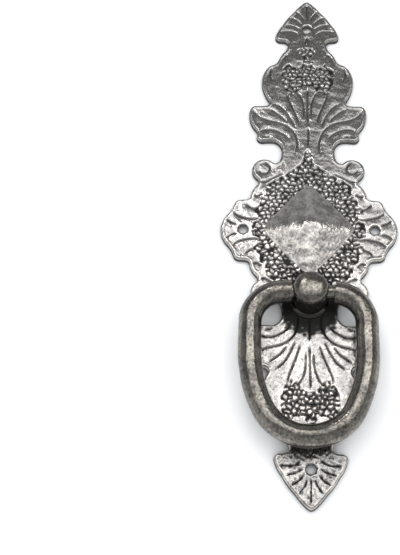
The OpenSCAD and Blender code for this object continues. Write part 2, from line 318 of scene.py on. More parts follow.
def arc_points(start, end, bulge, most):
    """Points of the arc from start to end, without end, in most(radius, turn) stretches."""
    start, end = np.array(start), np.array(end)
    across = end - start
    reach = np.hypot(*across)
    if bulge == 0:
        count = most(STRAIGHT, reach / STRAIGHT)
        return start + across * (np.arange(count) / count)[:, None]
    turn = 4 * math.atan(bulge)
    radius = reach / 2 / math.sin(abs(turn) / 2)
    left = np.array([-across[1], across[0]]) / reach
    offset = math.copysign(1, bulge) * radius * math.cos(turn / 2)
    centre = (start + end) / 2 + offset * left
    first = math.atan2(start[1] - centre[1], start[0] - centre[0])
    count = most(radius, abs(turn))
    angle = first + turn * np.arange(count) / count
    return centre + radius * np.stack([np.cos(angle), np.sin(angle)], 1)


def whole_outline(most):
    """The closed edge, counter-clockwise from the right side point."""
    rows = [arc_points(a[:2], b[:2], a[2], most) for a, b in zip(QUARTER, QUARTER[1:])]
    right_top = np.vstack(rows)
    top = np.array([[0, TIP]])
    left_top = right_top[::-1] * (-1, 1)
    left_low = right_top[1:] * (-1, -1)
    right_low = right_top[:0:-1] * (1, -1)
    return np.vstack([right_top, top, left_top, left_low, -top, right_low])


outline = whole_outline(lambda radius, turn: max(1, math.ceil(radius * turn / FINE_STEP)))
coarse_outline = whole_outline(
    lambda radius, turn: max(1, math.ceil(math.degrees(turn) / COARSE_TURN)))
print("outline:", len(outline), "points,", np.ptp(outline, axis=0), "mm")

# %% [markdown]
# ## The chased lines and the sunk grounds
#
# Narrow rounded grooves draw the petals, wings, scrolls and leaf veins. One quarter of them is
# given as points along each line, and the borders of the two sunk grounds are given the same
# way. A bud swells where a stem meets its bunch of berries. A slow wobble over the plate keeps
# the four quarters from being perfect copies, as with a die that was cut by hand.

# %% Carving of one quarter
CUTS = [
    [(1.3, 46.5), (1.5, 52.0), (2.5, 55.8), (4.2, 58.3), (6.5, 59.2)],
    [(3.2, 43.6), (4.5, 48.0), (6.0, 52.0), (7.3, 55.6), (7.4, 58.0)],
    [(5.0, 42.5), (6.6, 46.5), (8.8, 50.3), (11.8, 52.9)],
    [(8.0, 44.8), (10.2, 47.6), (13.9, 50.4)],
    [(13.2, 62.4), (14.1, 65.6), (13.5, 69.0)],
    [(0, 83.4), (0.5, 81.0), (0, 78.8)],
    [(7.4, 75.2), (9.2, 72.8), (10.4, 70.4)],
    [(4.7, 31.2), (3.9, 35.0), (4.9, 39.3), (7.2, 42.5), (10.4, 44.4), (14.5, 45.4),
     (17.4, 46.6), (19.2, 48.4), (20.1, 50.7)],
    [(7.0, 37.8), (9.2, 39.6), (11.6, 41.0), (14.5, 41.4), (17.6, 40.7)],
    [(10.6, 34.6), (12.4, 37.6), (15.2, 38.6)],
    [(9.0, 22.6), (12.6, 20.9), (15.4, 19.4), (17.2, 19.6)],
    [(16.6, 4.4), (19.4, 3.9), (22.5, 4.4), (25.2, 5.4), (27.0, 7.0)],
    [(25.6, 1.8), (27.4, 2.4), (29.3, 3.8)],
    [(18.0, 7.7), (20.4, 8.4), (22.4, 10.1)],
    [(16.6, 14.6), (18.0, 13.4), (19.6, 13.6)],
    [(1.2, 90.4), (2.2, 92.9), (4.0, 95.2)],
    [(2.3, 88.9), (4.2, 91.0), (6.7, 92.4)],
    [(2.8, 86.9), (5.2, 88.3), (8.2, 89.0)],
    [(3.2, 84.4), (6.0, 85.9), (10.2, 85.8)],
    [(0, 43.8), (0, 52.0), (0, 60.2)],
    [(0, 34.0), (0, 38.0), (0, 42.2)],
    [(0, 90.4), (0, 94.0), (0, 98.4)],
]
CURL_X, CURL_Y, CURL_WIDE, CURL_SHRINK, CURL_FROM, CURL_TURN = 16.1, 24.6, 2.5, 0.9, 80, 280


def curl_point(degrees):
    """A point of the scroll's curl, which draws in as it turns."""
    radius = CURL_WIDE - CURL_SHRINK * (degrees - CURL_FROM) / CURL_TURN
    a = math.radians(degrees)
    return CURL_X + radius * math.cos(a), CURL_Y + radius * math.sin(a)


CURL = [curl_point(degrees) for degrees in range(CURL_FROM, CURL_FROM + CURL_TURN + 1, 35)]
LOBE_GROUND = [
    (-2, 61.2), (1.6, 61.0), (3.0, 59.6), (4.4, 57.6), (6.0, 56.6), (7.6, 57.4), (8.6, 59.6),
    (9.6, 62.4), (9.9, 65.6), (9.2, 68.4), (8.0, 70.4), (6.8, 70.8), (5.8, 69.6), (4.1, 69.2),
    (2.4, 69.8), (1.3, 71.4), (1.2, 73.4), (2.2, 75.0), (3.5, 76.2), (3.1, 77.5), (1.3, 78.2),
    (-2, 78.3),
]
DIAMOND_GROUND = [
    (-2, 33.2), (0.4, 33.2), (1.1, 31.2), (1.7, 27.8), (4.6, 25.0), (8.2, 22.2), (12.4, 20.0),
    (15.0, 17.8), (15.2, 13.8), (17.0, 12.8), (17.4, 9.8), (19.6, 7.6), (17.6, 5.6), (17.4, 3.4),
    (19.6, 2.6), (20.4, -2), (15, -2), (15.0, 0), (0, 17.5), (-2, 19.8),
]
BUD, BUD_RISE = (4.1, 72.5, 2.8), 0.12


def smooth_line(points, spacing=0.35, parts=12):
    """An even curve through the points, with its length from 0 to 1 beside each point."""
    p = np.array(points, float)
    p = np.vstack([2 * p[0] - p[1], p, 2 * p[-1] - p[-2]])
    t = np.linspace(0, 1, parts, endpoint=False)[:, None]
    rows = []
    for a, b, c, d in zip(p, p[1:], p[2:], p[3:]):
        square, cube = 2 * a - 5 * b + 4 * c - d, 3 * b - a - 3 * c + d
        rows.append(0.5 * (2 * b + (c - a) * t + square * t**2 + cube * t**3))
    line = np.vstack(rows + [p[-2][None]])
    run = np.concatenate([[0], np.cumsum(np.hypot(*np.diff(line, axis=0).T))])
    even = np.linspace(0, run[-1], max(3, round(run[-1] / spacing)))
    return np.stack([np.interp(even, run, line[:, k]) for k in (0, 1)], 1), even / run[-1]


cut_lines = [smooth_line(c) for c in CUTS + [CURL]]
print("cut lines in a quarter:", len(cut_lines))

# %% [markdown]
# Every height comes from distances: to the edge, to the nearest groove, to the border of a
# ground and to the middle of the nearest berry. Points and stretches are compared in bands
# across the plate, so that only what lies close together is measured.

# %% Distances
rng = np.random.RandomState(7)
BAND = 3.0


def smooth(t):
    """0 up to 0, 1 from 1 on, and an even S between them."""
    t = np.clip(t, 0, 1)
    return t * t * (3 - 2 * t)


def bands(points, low_end, high_end, reach):
    """The points of each band across the plate, with the stretches within reach of it."""
    for low in np.arange(points[:, 1].min(), points[:, 1].max() + BAND, BAND):
        rows = np.flatnonzero((points[:, 1] >= low) & (points[:, 1] < low + BAND))
        near = np.flatnonzero((high_end > low - reach) & (low_end < low + BAND + reach))
        if len(rows) and len(near):
            yield rows, near


def nearest(points, starts, ends, reach, strength=None):
    """Distance to the nearest stretch, reach at most, and the strength there."""
    best, tag = np.full(len(points), float(reach)), np.zeros(len(points))
    low_end, high_end = np.minimum(starts[:, 1], ends[:, 1]), np.maximum(starts[:, 1], ends[:, 1])
    for rows, near in bands(points, low_end, high_end, reach):
        p, a, d = points[rows][:, None], starts[near][None], (ends - starts)[near][None]
        t = np.clip(((p - a) * d).sum(2) / (d * d).sum(2), 0, 1)
        gap = np.hypot(p[..., 0] - a[..., 0] - t * d[..., 0], p[..., 1] - a[..., 1] - t * d[..., 1])
        k = gap.argmin(1)
        at = np.arange(len(rows))
        best[rows] = np.minimum(gap[at, k], reach)
        if strength is not None:
            s = strength[near][k]
            tag[rows] = s[:, 0] + (s[:, 1] - s[:, 0]) * t[at, k]
    return best, tag


def from_place(points, x, y):
    """Distance to one place."""
    return np.hypot(points[:, 0] - x, points[:, 1] - y)


def loop_gap(points, loop, reach):
    """Distance to the nearest stretch of a closed line, reach at most."""
    return nearest(points, loop, np.roll(loop, -1, axis=0), reach)[0]


def inside(points, polygon):
    """True for each point inside the closed polygon."""
    hits = np.zeros(len(points), bool)
    for a, b in zip(polygon, np.roll(polygon, -1, axis=0)):
        if a[1] == b[1]:
            continue
        rows = (a[1] > points[:, 1]) != (b[1] > points[:, 1])
        x = a[0] + (b[0] - a[0]) * (points[:, 1] - a[1]) / (b[1] - a[1])
        hits ^= rows & (points[:, 0] < x)
    return hits


def waves(count, shortest, longest, seed):
    """A smooth random field from -1 to 1, as a sum of waves in all directions."""
    r = np.random.RandomState(seed)
    angle, length = r.uniform(0, 2 * np.pi, count), r.uniform(shortest, longest, count)
    k = 2 * np.pi / length[:, None] * np.stack([np.cos(angle), np.sin(angle)], 1)
    phase = r.uniform(0, 2 * np.pi, count)
    return lambda p: np.sin(p @ k.T + phase).sum(1) / math.sqrt(count)


SWAY, END_SHARE, END_DEPTH = 0.14, 0.16, 0.15
sway_x, sway_y = waves(8, 14, 30, 1), waves(8, 14, 30, 2)
warp_x, warp_y = waves(30, 1.6, 3.2, 8), waves(30, 1.6, 3.2, 9)
hammered, pitted, ragged = waves(40, 3.0, 7.0, 3), waves(60, 1.0, 2.2, 4), waves(30, 1.6, 4.0, 5)


def pushed(points, by, field_x, field_y):
    """The points, each moved by two smooth fields."""
    return points + by * np.stack([field_x(points), field_y(points)], 1)


def swayed(points):
    """Where a point of the plate lies in the drawing of one quarter."""
    return np.abs(pushed(points, SWAY, sway_x, sway_y))


cut_start = np.vstack([line[:-1] for line, _ in cut_lines])
cut_end = np.vstack([line[1:] for line, _ in cut_lines])


def fade(t):
    """How deep a groove is at the share t of its length: it runs out at both ends."""
    return smooth(t / END_SHARE + END_DEPTH) * smooth((1 - t) / END_SHARE + END_DEPTH)


cut_strength = np.vstack([np.stack([fade(t[:-1]), fade(t[1:])], 1) for _, t in cut_lines])
print("stretches of groove:", len(cut_start), " stretches of edge:", len(outline))

# %% [markdown]
# ## Berries
#
# The grounds are filled with berries, crowded and uneven like pebbles. A loose honeycomb of
# middles is shaken up over the grounds, and a string of given middles fills the narrow stems.
# Each point of a ground belongs to its nearest middle, and falls off where the next one comes
# as near, so that the berries are rounded, with a net of narrow channels between them.

# %% Berries and grounds
GROUND_DEPTH, BERRY_PITCH, CHANNEL, DOME = 0.66, 1.85, 0.34, 0.45
ROW_STEP = 0.87
SHAKE, LEFT_OUT, BERRY_REACH, BERRY_WARP = 0.62, 0.02, 2.5, 0.22
BORDER_ROOM, SEAT_ROOM, STRING_ROOM = 0.38, 0.9, 1.2
NECK_STRING = [(0.1, 32.3), (-0.15, 30.8), (0.2, 29.2)]
LOBE_STRING = [
    (0.1, 71.2), (-0.1, 72.9), (0.2, 74.5), (-1.2, 75.8), (1.3, 76.0), (0.0, 77.3), (-2.5, 76.9),
    (2.6, 77.0),
]


def ground_gap(folded):
    """Distance inside the border of a ground, less than 0 outside."""
    out = np.full(len(folded), -9.0)
    for ground in (LOBE_GROUND, DIAMOND_GROUND):
        g = np.array(ground, float)
        gap = loop_gap(folded, g, 3.0)
        out = np.maximum(out, np.where(inside(folded, g), gap, -gap))
    return out


def seat_gap(points):
    """Distance outside the round seat of the post, less than 0 on it."""
    return from_place(points, 0, POST_Y) - SEAT_RADIUS


def comb(cols, rows):
    """The middles of a honeycomb, whose rows are one apart before they are drawn closer."""
    col, row = np.meshgrid(cols, rows)
    return np.stack([col + 0.5 * (row % 2), row], 2).reshape(-1, 2)


berries = comb(np.arange(-16, 17), np.arange(-50, 51)) * (BERRY_PITCH * np.array([1, ROW_STEP]))
berries = berries + rng.uniform(-SHAKE, SHAKE, berries.shape)
keep = (ground_gap(swayed(berries)) > BORDER_ROOM) & (seat_gap(berries) > SEAT_ROOM)
berries = berries[keep & (rng.uniform(size=len(berries)) > LEFT_OUT)]
string = NECK_STRING + [(x * way, y * way) for x, y in LOBE_STRING for way in (1, -1)]
string = np.array(string)
near_string = np.min([np.hypot(*(berries - b).T) for b in string], axis=0) <= STRING_ROOM
berries = np.vstack([berries[~near_string], string])
berry_radius = rng.uniform(0.95, 1.6, len(berries))
berry_rise = rng.uniform(0.36, 0.72, len(berries))
print("berries:", len(berries))


def berry_height(points):
    """Height of the berries above their ground."""
    points = pushed(points, BERRY_WARP, warp_x, warp_y)
    first, second = np.full(len(points), 9.0), np.full(len(points), 9.0)
    owner = np.zeros(len(points), int)
    for rows, near in bands(points, berries[:, 1], berries[:, 1], BERRY_REACH):
        if len(near) < 2:
            continue
        gap = np.hypot(points[rows, :1] - berries[near, 0], points[rows, 1:] - berries[near, 1])
        order = np.argpartition(gap, 1, axis=1)
        at = np.arange(len(rows))
        first[rows], second[rows] = gap[at, order[:, 0]], gap[at, order[:, 1]]
        owner[rows] = near[order[:, 0]]
    radius = berry_radius[owner]
    slope = np.minimum((second - first) / 2, radius - first) / CHANNEL
    dome = 1 - DOME * np.clip(first / radius, 0, 1) ** 2
    return berry_rise[owner] * smooth(slope) * dome


# %% [markdown]
# ## The height of the front
#
# From the field, the plate rises to a narrow rim and rolls over the edge. Beside each groove the
# metal is pressed into a soft pillow, so that petals catch the light. The pyramid's ridges are
# blunt, and the screw holes are lightly dished. A faint hammered unevenness lies over all of
# it, with deeper pits on the lower leaf, whose lines are shallower.


# %% Height of the front
HAMMERING, PITTING, LEAF_PITTING = 0.026, 0.012, 0.05
GROOVE_HALF, GROOVE_DEPTH, LEAF_SHALLOWER = 0.27, 0.3, 0.14
PILLOW, PILLOW_WIDTH, PILLOW_BASE = 0.14, 1.0, 0.05
RIM_START, RIM_FALL, FLAT_START, FLAT_FALL, FLAT_SHARE = 1.7, 0.8, 1.8, 1.0, 0.7
PYRAMID_GAIN, PYRAMID_HAMMERING, FOOT_DEPTH = 1.05, 1.7, 0.1
BLUNT_X, BLUNT_Y = (2.2, 0.9), (2.6, 1.0)
DISH_DEPTH, DISH_WIDTH = 0.35, 0.55
EDGE_SEEN = 2.6


def on_low_leaf(points):
    """1 on the leaf at the lower end, 0 above it."""
    return smooth((-79 - points[:, 1]) / 4)


def field_height(points, folded):
    """The field with its grooves, pillows and buds, and the unevenness that lies over it."""
    leaf = on_low_leaf(points)
    relief = HAMMERING * hammered(points) + (PITTING + LEAF_PITTING * leaf) * pitted(points)
    groove, strength = nearest(folded, cut_start, cut_end, 2.4, cut_strength)
    pillow = PILLOW * np.exp(-groove / PILLOW_WIDTH) + PILLOW_BASE
    off_seat = smooth(seat_gap(points) / 0.6)
    field = FIELD + off_seat * (relief - pillow * (0.4 + 0.6 * strength))
    depth = GROOVE_DEPTH - LEAF_SHALLOWER * leaf
    field -= depth * strength * np.clip(1 - (groove / GROOVE_HALF) ** 2, 0, 1)
    bud_x, bud_y, bud = BUD
    from_bud = (folded[:, 0] - bud_x) ** 2 + (folded[:, 1] - bud_y) ** 2
    return field + BUD_RISE * np.clip(1 - from_bud / bud**2, 0, 1), relief


def pyramid_height(points, relief):
    """The pyramid's faces, and the share of the way up, less than 0 beyond its foot."""
    ax, ay, top = PYRAMID
    x = np.sqrt(points[:, 0] ** 2 + BLUNT_X[0]) - BLUNT_X[1]
    y = np.sqrt(points[:, 1] ** 2 + BLUNT_Y[0]) - BLUNT_Y[1]
    share = 1 - x / ax - y / ay
    face = FIELD + top * PYRAMID_GAIN * share
    face += PYRAMID_HAMMERING * relief * smooth(share / 0.1)
    return np.maximum(face, FIELD - FOOT_DEPTH), share


def front_height(points):
    """The height of the front, with what its finish needs: edge, ground, berry and pyramid."""
    edge = loop_gap(points, outline, EDGE_SEEN)
    edge = np.where(inside(points, outline), edge, -edge)
    folded = swayed(points)
    field, relief = field_height(points, folded)
    border = ground_gap(folded) + 0.15 + 0.12 * ragged(points)
    sunk = smooth(border / 0.5) * smooth(seat_gap(points) / 0.5)
    berry = berry_height(points)
    height = field + (FIELD - GROUND_DEPTH + berry + 0.3 * relief - field) * sunk

    rim = RIM_RISE * smooth((RIM_START - edge) / RIM_FALL)
    flat = smooth((FLAT_START - edge) / FLAT_FALL) * FLAT_SHARE
    height = height + (FIELD + rim - height) * flat
    roll = np.sqrt(np.clip(1 - (1 - np.clip(edge / BEVEL, 0, 1)) ** 2, 0, 1))
    height = EDGE + (height - EDGE) * roll

    pyramid, share = pyramid_height(points, relief)
    height = np.where(share > 0, pyramid, height)
    for x, y, radius in HOLES[:4]:
        away = from_place(points, x, y) - radius
        height -= DISH_DEPTH * np.clip(1 - away / DISH_WIDTH, 0, 1) ** 2
    return height, edge, np.where(share > 0, 0, sunk), berry, share


trial = front_height(np.array([(0.0, 0.0), (3.0, 45.0), berries[-1]]))[0]
print("heights of the point, a petal and a berry:", trial.round(2), "mm")


# %% [markdown]
# ## The mesh of the plate
#
# The relief is too fine and too free to be pushed out of a primitive by hand operators, so the
# front is made as a net of points. Rows of points follow the edge, the grooves, the pyramid's
# foot and the holes, so that these stay crisp, and a fine honeycomb fills what is left. One
# triangulation joins them. The rim, the hollow back and the holes' walls close the solid.


# %% Points of the front
def beside(line, offset, closed=False):
    """A line moved to its left by offset."""
    if closed:
        t = np.roll(line, -1, axis=0) - np.roll(line, 1, axis=0)
    else:
        t = np.gradient(line, axis=0)
    t = t / np.hypot(t[:, 0], t[:, 1])[:, None]
    return line + offset * np.stack([-t[:, 1], t[:, 0]], 1)


def circle(x, y, radius, count):
    a = 2 * np.pi * np.arange(count) / count
    return np.stack([x + radius * np.cos(a), y + radius * np.sin(a)], 1)


def four_ways(points):
    """The points and their three mirror images."""
    return np.vstack([points * s for s in ((1, 1), (-1, 1), (-1, -1), (1, -1))])


def unswayed(points):
    """Where a point of the drawing lies on the plate."""
    return pushed(points, -SWAY, sway_x, sway_y)


EDGE_ROWS, CUT_ROWS = (0.12, 0.32, 0.6, 0.95, 1.35), (0, 0.17, -0.17, 0.36, -0.36)
FOOT_ROWS, HOLE_ROWS = (-0.35, -0.1, 0.1, 0.4), (0.25, 0.55)
HOLE_POINTS, FOOT_POINTS, RIDGE_POINTS = 40, 70, 50
hole_loops = [circle(x, y, r, HOLE_POINTS) for x, y, r in HOLES]
edge_rows = []
for offset in EDGE_ROWS:
    row = beside(outline, offset, closed=True)
    gap = loop_gap(row, outline, EDGE_SEEN)
    edge_rows.append(row[(np.abs(gap - offset) < 0.05) & inside(row, outline)])
cut_rows = [
    unswayed(four_ways(beside(line, offset))) for line, _ in cut_lines for offset in CUT_ROWS]
ax, ay, _ = PYRAMID
foot_rows = []
for grow in FOOT_ROWS:
    corner = np.array([(ax + grow, 0), (0, ay + grow * ay / ax)])
    t = np.linspace(0, 1, FOOT_POINTS)[:, None]
    foot_rows.append(four_ways(corner[0] * (1 - t) + corner[1] * t))
ridges = np.vstack([
    way * np.linspace(0, (ax, ay)[k % 2], RIDGE_POINTS)[:, None]
    for k, way in enumerate(circle(0, 0, 1, 4))])
hole_rows = [circle(x, y, r + grow, HOLE_POINTS) for x, y, r in HOLES for grow in HOLE_ROWS]
guides = np.vstack(edge_rows + foot_rows + [ridges] + hole_rows + cut_rows)


def thinned(points, cell):
    """The points without those that share a square cell with an earlier one."""
    kept, taken = [], set()
    for point, place in zip(points, np.floor(points / cell).astype(int).tolist()):
        if tuple(place) not in taken:
            kept.append(point)
            taken.add(tuple(place))
    return np.array(kept)


guides = thinned(guides, 0.16)
print("guide points:", len(guides))


def honeycomb(spacing, seed):
    """A slightly uneven honeycomb over the whole plate."""
    r = np.random.RandomState(seed)
    nx, ny = int(64 / spacing), int(204 / spacing / ROW_STEP)
    grid = comb(np.arange(nx), np.arange(ny)) * spacing * (1, ROW_STEP)
    grid -= (nx * spacing / 2, ny * spacing * ROW_STEP / 2)
    return grid + r.uniform(-0.08, 0.08, grid.shape) * spacing


def free_of(points, others, cell, reach):
    """The points that have none of the others within reach."""
    size = np.array([int(70 / cell), int(210 / cell)])
    full = np.zeros(size, bool)
    at = np.floor(others / cell).astype(int) + size // 2
    span = int(reach / cell)
    for dx in range(-span, span + 1):
        for dy in range(-span, span + 1):
            if math.hypot(dx, dy) * cell <= reach:
                full[at[:, 0] + dx, at[:, 1] + dy] = True
    at = np.floor(points / cell).astype(int) + size // 2
    return points[~full[at[:, 0], at[:, 1]]]


def in_ground(points):
    return ground_gap(swayed(points)) > -0.4


fine, plain = honeycomb(0.29, 11), honeycomb(0.36, 12)
fill = np.vstack([fine[in_ground(fine)], plain[~in_ground(plain)]])
fill = fill[inside(fill, outline) & (loop_gap(fill, outline, EDGE_SEEN) > 1.5)]
for x, y, r in HOLES:
    fill = fill[from_place(fill, x, y) > r + 0.75]
    guides = guides[from_place(guides, x, y) > r + 0.2]
fill = free_of(fill, guides, 0.05, 0.2)
print("fill points:", len(fill))


# %% [markdown]
# A triangulation fills the whole outline, so triangles outside it or inside a hole are left out.


# %% Net
def net(loops, points, keep):
    """Triangles between closed loops and loose points, where keep(middles) is true."""
    whole = np.vstack(list(loops) + ([points] if len(points) else []))
    edges, start = [], 0
    for loop in loops:
        ring = np.arange(start, start + len(loop))
        edges += list(zip(ring.tolist(), np.roll(ring, -1).tolist()))
        start += len(loop)
    corners = [Vector(p) for p in whole.tolist()]
    out, _, faces, sources, _, _ = delaunay_2d_cdt(corners, edges, [], 0, 1e-5)
    place = np.array([s[0] if s else -1 for s in sources])
    assert len(out) == len(whole) and (place >= 0).all(), "two points of the net fell together"
    faces = place[np.array(faces)]
    middles = whole[faces].mean(1)
    return whole, faces[keep(middles)]


def on_plate(edge_loop, holes):
    """A test for points inside the edge and outside each hole."""

    def keep(points):
        good = inside(points, edge_loop)
        for hole in holes:
            good &= ~inside(points, hole)
        return good

    return keep


front_points, front_faces = net(
    [outline] + hole_loops, np.vstack([guides, fill]), on_plate(outline, hole_loops))
front, edge, sunk, berry, share = front_height(front_points)
front[: len(outline)] = EDGE
print("front:", len(front_points), "points,", len(front_faces), "triangles")
print("heights:", round(front.min(), 2), "to", round(front.max(), 2), "mm")

# %% [markdown]
# The back is a shallow tray: a flat rim all round that bears on the door, a wall inside it, and
# the back of the sheet with the hollow of the pyramid.


# %% Back
def inset(points, width):
    """A closed line drawn in by a width along the corner bisectors."""
    a, b = points - np.roll(points, 1, axis=0), np.roll(points, -1, axis=0) - points
    na = np.stack([-a[:, 1], a[:, 0]], 1) / np.hypot(*a.T)[:, None]
    nb = np.stack([-b[:, 1], b[:, 0]], 1) / np.hypot(*b.T)[:, None]
    m = na + nb
    return points + m * (width / np.maximum(0.5, (m * m).sum(1) / 2))[:, None]


tray = inset(coarse_outline, RIM_WIDTH)
back_fill = honeycomb(1.1, 13)
back_fill = back_fill[inside(back_fill, tray) & (loop_gap(back_fill, tray, 2.0) > 0.5)]
for x, y, r in HOLES:
    back_fill = back_fill[from_place(back_fill, x, y) > r + 0.4]
hollow_x, hollow_y = PYRAMID_HOLLOW
hollow_corners = np.array([(hollow_x, 0), (0, hollow_y)])
t = np.linspace(0, 1, 24, endpoint=False)[:, None]
side = hollow_corners[0] * (1 - t) + hollow_corners[1] * t


def hollow_share(points):
    """The share of the way into the pyramid's hollow, less than 0 outside it."""
    return 1 - np.abs(points[:, 0]) / hollow_x - np.abs(points[:, 1]) / hollow_y


back_fill = back_fill[np.abs(hollow_share(back_fill)) > 0.04]
hollow_points = four_ways(side[1:])
hollow_points = np.vstack([hollow_points, four_ways(side[:1])[:2], [(0, hollow_y), (0, -hollow_y)]])
back_points, back_faces = net(
    [tray] + hole_loops, np.vstack([hollow_points, back_fill]), on_plate(tray, hole_loops))
share_in = hollow_share(back_points)
back = HOLLOW + np.where(share_in > 0, (PYRAMID[2] - 0.2) * share_in, 0.0)
rim_points, rim_faces = net([outline, tray], np.zeros((0, 2)), on_plate(outline, [tray]))
print("back:", len(back_faces), "triangles, rim:", len(rim_faces))

# %% [markdown]
# The loops of the front, the rim and the back are joined by upright walls, and each hole gets a
# narrow edge at its mouth.

# %% Layers and walls
MOUTH_DEPTH = 0.15
points, faces = [], []


def add_layer(flat, height):
    """Adds points at a height and says where they start."""
    start = sum(len(p) for p in points)
    points.append(np.column_stack([flat, np.broadcast_to(height, len(flat))]))
    return start


def wall(low, high, count, outward=True):
    """Joins two loops of as many points by a ring of quads."""
    i = np.arange(count)
    j = (i + 1) % count
    quads = np.stack([low + i, low + j, high + j, high + i], 1)
    quads = quads if outward else quads[:, ::-1]
    faces.extend(quads.tolist())


front_at = add_layer(front_points, front)
faces.extend((front_faces + front_at).tolist())
back_at = add_layer(back_points, back)
faces.extend((back_faces[:, ::-1] + back_at).tolist())
rim_at = add_layer(rim_points, 0.0)
faces.extend((rim_faces[:, ::-1] + rim_at).tolist())
edge_count, tray_count = len(outline), len(tray)
wall(rim_at, front_at, edge_count)
wall(rim_at + edge_count, back_at, tray_count, outward=False)
front_hole, back_hole = front_at + edge_count, back_at + tray_count
# The loops of the walls at the edge and in the holes are kept, to be painted dark as shade.
shaded_wall_loops = [(front_at, edge_count), (rim_at, edge_count)]
for loop in hole_loops:
    around = front[front_hole - front_at : front_hole - front_at + len(loop)]
    mouth = add_layer(loop, around - MOUTH_DEPTH)
    wall(mouth, front_hole, len(loop), outward=False)
    wall(back_hole, mouth, len(loop), outward=False)
    shaded_wall_loops += [(mouth, len(loop)), (back_hole, len(loop))]
    front_hole, back_hole = front_hole + len(loop), back_hole + len(loop)
lying = np.vstack(points)
print("plate:", len(lying), "points,", len(shaded_wall_loops), "dark loops")

# %% [markdown]
# The wear of the finish is worked out from how far each point lies below or above the plate
# around it, and is kept in the mesh as an attribute: 0.5 is level, less is a hollow and more a
# crest. The pyramid's foot and ridges are rubbed and its point is not. The lower leaf is darker,
# the plate round and below the post is darkened as painted shade with some dirt, the walls at the
# edge and in the holes are painted dark as shade, and berries are bare on top and black between.

# %% Wear and painted shade
UNSEEN, WALL_SHADE, CREST_RISE = 0.48, 0.2, 0.9
FACE_RUBBED, FOOT_RUBBED, POINT_DULL, LEAF_DULL = 0.07, 0.22, 0.22, 0.19
BETWEEN_BERRIES, ON_BERRY, EDGE_RUBBED = 0.08, 1.12, 0.6
SHADE_AND_GRIME, SHADE_AND_GRIME_REACH, SHADE_AND_GRIME_FADE = 0.5, 16.5, 9.0


def local_level(cell=0.25, spread=1.1):
    """The height of the front, averaged over the plate within a few times spread, as a grid."""
    xs, ys = np.arange(-34, 34, cell), np.arange(-103, 103, cell)
    grid = np.stack(np.meshgrid(xs, ys, indexing="ij"), -1).reshape(-1, 2)
    there = inside(grid, outline).astype(float)
    heights = np.where(there > 0, front_height(grid)[0], 0)
    layers = [layer.reshape(len(xs), len(ys)) for layer in (heights, there)]
    kernel = np.exp(-0.5 * (np.arange(-16, 17) * cell / spread) ** 2)

    def spread_out(line):
        return np.convolve(line, kernel, mode="same")

    for axis in (0, 1):
        layers = [np.apply_along_axis(spread_out, axis, layer) for layer in layers]
    return xs, ys, layers[0] / np.maximum(layers[1], 1e-6)


def sampled(grid, points):
    """The grid's values at the points, even between its cells."""
    xs, ys, values = grid
    fx, fy = (points[:, 0] - xs[0]) / (xs[1] - xs[0]), (points[:, 1] - ys[0]) / (ys[1] - ys[0])
    i, j = fx.astype(int), fy.astype(int)
    u, v = fx - i, fy - j
    low = values[i, j] * (1 - u) + values[i + 1, j] * u
    high = values[i, j + 1] * (1 - u) + values[i + 1, j + 1] * u
    return low * (1 - v) + high * v


relief = np.full(len(lying), UNSEEN)
crests = 0.5 + (front - sampled(local_level(), front_points)) / CREST_RISE
crests += smooth(share / 0.02) * (FACE_RUBBED + FOOT_RUBBED * smooth((0.06 - share) / 0.04))
crests -= POINT_DULL * smooth((share - 0.72) / 0.2)
crests -= LEAF_DULL * on_low_leaf(front_points)
crests = crests + (BETWEEN_BERRIES + ON_BERRY * berry - crests) * sunk * 0.9
# Painted shade, with some dirt: the plate is darkened round the post and a little below it.
away = from_place(front_points, 0, POST_Y - 1.5)
shade_and_grime = SHADE_AND_GRIME * smooth((SHADE_AND_GRIME_REACH - away + 0.8 * ragged(front_points)) / SHADE_AND_GRIME_FADE)
crests = crests + (EDGE_RUBBED - crests) * smooth((1.3 - edge) / 0.6) - shade_and_grime
relief[: len(front_points)] = np.clip(crests, 0, 1)
# Painted shade: the walls at the edge and in the holes are painted dark.
for start, count in shaded_wall_loops:
    relief[start : start + count] = WALL_SHADE

deselect()
plate_mesh = bpy.data.meshes.new("carved_plate")
plate_mesh.from_pydata((lying[:, [0, 2, 1]] * (MM, -MM, MM)).tolist(), [], faces)
plate_mesh.validate()
kept = plate_mesh.attributes.new("relief", "FLOAT", "POINT")
kept.data.foreach_set("value", relief)
carved_plate = bpy.data.objects.new("carved_plate", plate_mesh)
bpy.context.collection.objects.link(carved_plate)
carved_plate.select_set(True)
bpy.context.view_layer.objects.active = carved_plate
bpy.ops.object.shade_smooth_by_angle(angle=math.radians(50))
triangles = sum(len(p.vertices) - 2 for p in plate_mesh.polygons)
print("plate:", triangles, "triangles, wear", relief.min().round(2), "to", relief.max().round(2))

# %% [markdown]
# ## The post
#
# On a lathe the post is turned from bar: a tail that is peened behind the sheet, a collar, a
# plain head and a dome. Here a circle is extruded ring by ring and scaled to each diameter,
# and the cross bore for the ring is cut by a cylinder.


# %% Post
def mm(x, y, height):
    """A place on the lying drawing as a point in the standing frame."""
    return Vector((x * MM, -height * MM, y * MM))


def cos_sin(degrees):
    return math.cos(math.radians(degrees)), math.sin(math.radians(degrees))


